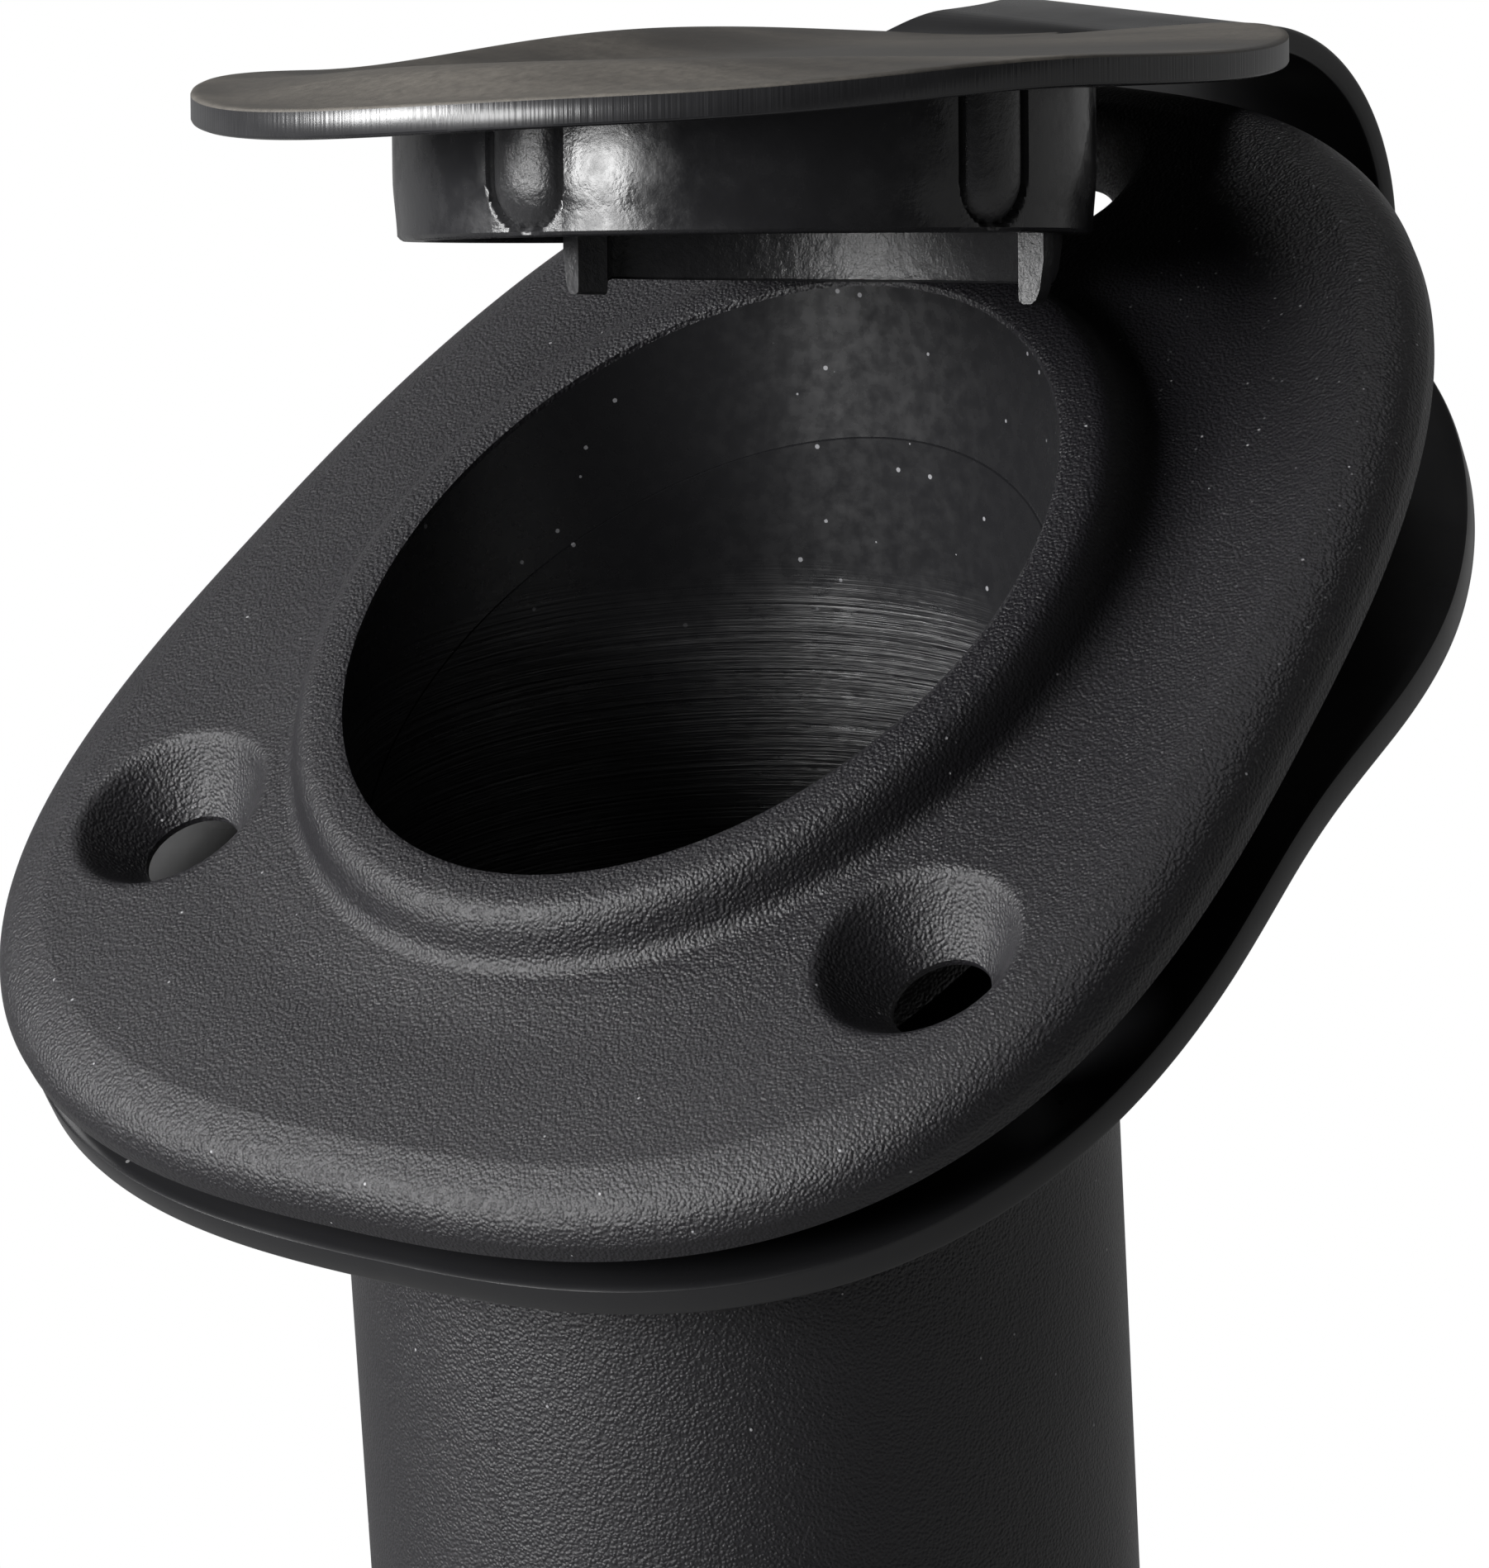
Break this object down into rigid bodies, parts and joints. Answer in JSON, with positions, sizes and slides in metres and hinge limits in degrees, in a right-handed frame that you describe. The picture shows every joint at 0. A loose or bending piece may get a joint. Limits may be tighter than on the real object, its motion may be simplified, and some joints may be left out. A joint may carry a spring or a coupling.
{
  "type": "flush-mount rod holder",
  "caption": "Flush-mount fishing rod holder: slanted blind tube under a domed oval deck flange, with a loose gasket and a strapped plug cap.",
  "frame": {"origin": "on the plane of symmetry in the flange's underside, below the centre of the bore's rim", "axes": "+Z is the flange's normal, out of the deck; +X points to the rear, where the strap is, and the tube goes down towards -X; +Y is to the left when facing +X; the XZ plane is the plane of symmetry"},
  "size_m": [0.1968, 0.0858, 0.2605],
  "materials": {
    "textured_plastic": "fine leather-grain moulded nylon, satin",
    "vinyl_sheet": "smooth flexible vinyl, satin gloss",
    "dusty_vinyl": "flexible vinyl, matt and lightly dusty on top, glossy sawn edge",
    "glossy_vinyl": "moulded flexible vinyl, glossy, with rough lugs"
  },
  "bodies": {
    "holder": {"flange": "textured_plastic", "tube": "textured_plastic"},
    "gasket_front": {"gasket_front": "vinyl_sheet"},
    "gasket_rear": {"gasket_rear": "vinyl_sheet"},
    "strap_root": {"strap_root": "vinyl_sheet"},
    "strap_link_1": {"strap_link_1": "vinyl_sheet"},
    "strap_link_2": {"strap_link_2": "vinyl_sheet"},
    "strap_link_3": {"strap_link_3": "vinyl_sheet"},
    "strap_link_4": {"strap_link_4": "vinyl_sheet"},
    "strap_tab": {"strap_tab": "vinyl_sheet"},
    "cap": {"cap_plate": "dusty_vinyl", "cap_plug": "glossy_vinyl"}
  },
  "joints": [
    {"name": "gasket_seat", "type": "hinge", "parent": "holder", "child": "gasket_front", "pos_m": [-0.107, 0, -0.0478], "axis": [0, -1, 0], "range_deg": [0, 3.41]},
    {"name": "gasket_bend", "type": "hinge", "parent": "gasket_front", "child": "gasket_rear", "pos_m": [0.00159, 0, -0.00742], "axis": [0, -1, 0], "range_deg": [0, 4.91]},
    {"name": "cap_close", "type": "hinge", "parent": "gasket_rear", "child": "strap_root", "pos_m": [0.05286, 0, -0.0148], "axis": [0, -1, 0], "range_deg": [0, 34.6]},
    {"name": "cap_open", "type": "hinge", "parent": "strap_root", "child": "strap_link_1", "pos_m": [0.0565, 0, -0.01386], "axis": [0, 1, 0], "range_deg": [0, 33]},
    {"name": "strap_bend_2", "type": "hinge", "parent": "strap_link_1", "child": "strap_link_2", "pos_m": [0.05824, 0, -0.00894], "axis": [0, 1, 0], "range_deg": [0, 33]},
    {"name": "strap_bend_3", "type": "hinge", "parent": "strap_link_2", "child": "strap_link_3", "pos_m": [0.05827, 0, -0.00372], "axis": [0, 1, 0], "range_deg": [0, 33]},
    {"name": "strap_bend_4", "type": "hinge", "parent": "strap_link_3", "child": "strap_link_4", "pos_m": [0.05661, 0, 0.00122], "axis": [0, 1, 0], "range_deg": [0, 33]},
    {"name": "strap_bend_5", "type": "hinge", "parent": "strap_link_4", "child": "strap_tab", "pos_m": [0.05343, 0, 0.00535], "axis": [0, 1, 0], "range_deg": [0, 33]},
    {"name": "cap_twist", "type": "hinge", "parent": "strap_tab", "child": "cap", "pos_m": [0.02271, 0, 0.02738], "axis": [0.7325, 0, -0.6807], "range_deg": [0, 7.01]}
  ],
  "couplings": [
    {"joint": "gasket_seat", "follows": "cap_close", "ratio": 0.098266},
    {"joint": "gasket_bend", "follows": "cap_close", "ratio": 0.14162},
    {"joint": "cap_twist", "follows": "cap_close", "ratio": 0.20231},
    {"joint": "strap_bend_2", "follows": "cap_open", "ratio": 1},
    {"joint": "strap_bend_3", "follows": "cap_open", "ratio": 1},
    {"joint": "strap_bend_4", "follows": "cap_open", "ratio": 1},
    {"joint": "strap_bend_5", "follows": "cap_open", "ratio": 1}
  ]
}
